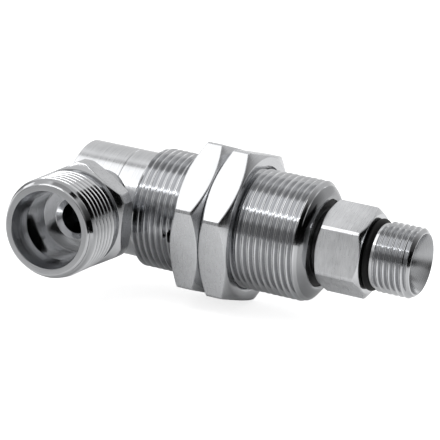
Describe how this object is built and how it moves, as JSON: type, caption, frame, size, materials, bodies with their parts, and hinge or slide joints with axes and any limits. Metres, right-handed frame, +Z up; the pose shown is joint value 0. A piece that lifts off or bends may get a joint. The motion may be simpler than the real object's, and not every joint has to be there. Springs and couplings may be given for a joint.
{
  "type": "hydraulic swivel joint",
  "caption": "Right-angle bulkhead hydraulic swivel joint: a threaded steel housing with jam nuts, an elbow with a side port, and a stem with a hexagon and stud that spins on ball bearings.",
  "frame": {"origin": "on the swivel axis, near the middle of the threaded housing", "axes": "+X along the swivel axis, out through the stud; the side port points along -Y; +Z up"},
  "size_m": [0.1125, 0.0705, 0.0486],
  "materials": {
    "housing": "stainless steel, turned with a cut thread, satin",
    "elbow_body": "stainless steel, fine turned",
    "elbow_neck": "stainless steel, fine turned",
    "port_fitting": "stainless steel, fine turned",
    "left_jam_nut": "stainless steel, milled satin flats",
    "right_jam_nut": "stainless steel, milled satin flats",
    "stem": "stainless steel, fine turned",
    "stud_o_ring": "moulded nitrile rubber, satin",
    "dust_seal": "moulded nitrile rubber, satin",
    "neck_o_ring": "moulded nitrile rubber, satin",
    "pressure_seal": "filled PTFE, matte",
    "seal_energizer": "moulded nitrile rubber, satin",
    "backup_ring": "natural acetal, matte",
    "seal_retainer": "stainless steel, fine turned",
    "left_outer_race": "ground bearing steel",
    "left_inner_race": "ground bearing steel",
    "left_balls": "lapped bearing steel",
    "left_cage": "machined brass",
    "right_outer_race": "ground bearing steel",
    "right_inner_race": "ground bearing steel",
    "right_balls": "lapped bearing steel",
    "right_cage": "machined brass",
    "outer_spacer": "stainless steel, fine turned",
    "inner_spacer": "stainless steel, fine turned",
    "housing_circlip": "phosphated spring steel",
    "stem_circlip": "phosphated spring steel"
  },
  "bodies": {
    "housing_group": {"housing": "housing", "elbow_body": "elbow_body", "elbow_neck": "elbow_neck", "port_fitting": "port_fitting", "dust_seal": "dust_seal", "neck_o_ring": "neck_o_ring", "pressure_seal": "pressure_seal", "seal_energizer": "seal_energizer", "backup_ring": "backup_ring", "seal_retainer": "seal_retainer", "left_outer_race": "left_outer_race", "right_outer_race": "right_outer_race", "outer_spacer": "outer_spacer", "housing_circlip": "housing_circlip"},
    "stem_group": {"stem": "stem", "stud_o_ring": "stud_o_ring", "left_inner_race": "left_inner_race", "right_inner_race": "right_inner_race", "inner_spacer": "inner_spacer", "stem_circlip": "stem_circlip"},
    "left_ball_set": {"left_balls": "left_balls", "left_cage": "left_cage"},
    "right_ball_set": {"right_balls": "right_balls", "right_cage": "right_cage"},
    "left_nut": {"left_jam_nut": "left_jam_nut"},
    "right_nut": {"right_jam_nut": "right_jam_nut"}
  },
  "joints": [
    {"name": "stem_spin", "type": "hinge", "parent": "housing_group", "child": "stem_group", "pos_m": [0, 0, 0], "axis": [1, 0, 0], "continuous": true},
    {"name": "left_ball_orbit", "type": "hinge", "parent": "housing_group", "child": "left_ball_set", "pos_m": [-0.0065, 0, 0], "axis": [1, 0, 0], "continuous": true},
    {"name": "right_ball_orbit", "type": "hinge", "parent": "housing_group", "child": "right_ball_set", "pos_m": [0.0165, 0, 0], "axis": [1, 0, 0], "continuous": true},
    {"name": "left_nut_travel", "type": "slide", "parent": "housing_group", "child": "left_nut", "axis": [1, 0, 0], "range_m": [-0.0122, 0]},
    {"name": "right_nut_travel", "type": "slide", "parent": "housing_group", "child": "right_nut", "axis": [1, 0, 0], "range_m": [0, 0.019]}
  ],
  "couplings": [
    {"joint": "left_ball_orbit", "follows": "stem_spin", "ratio": 0.40767},
    {"joint": "right_ball_orbit", "follows": "stem_spin", "ratio": 0.40767}
  ]
}
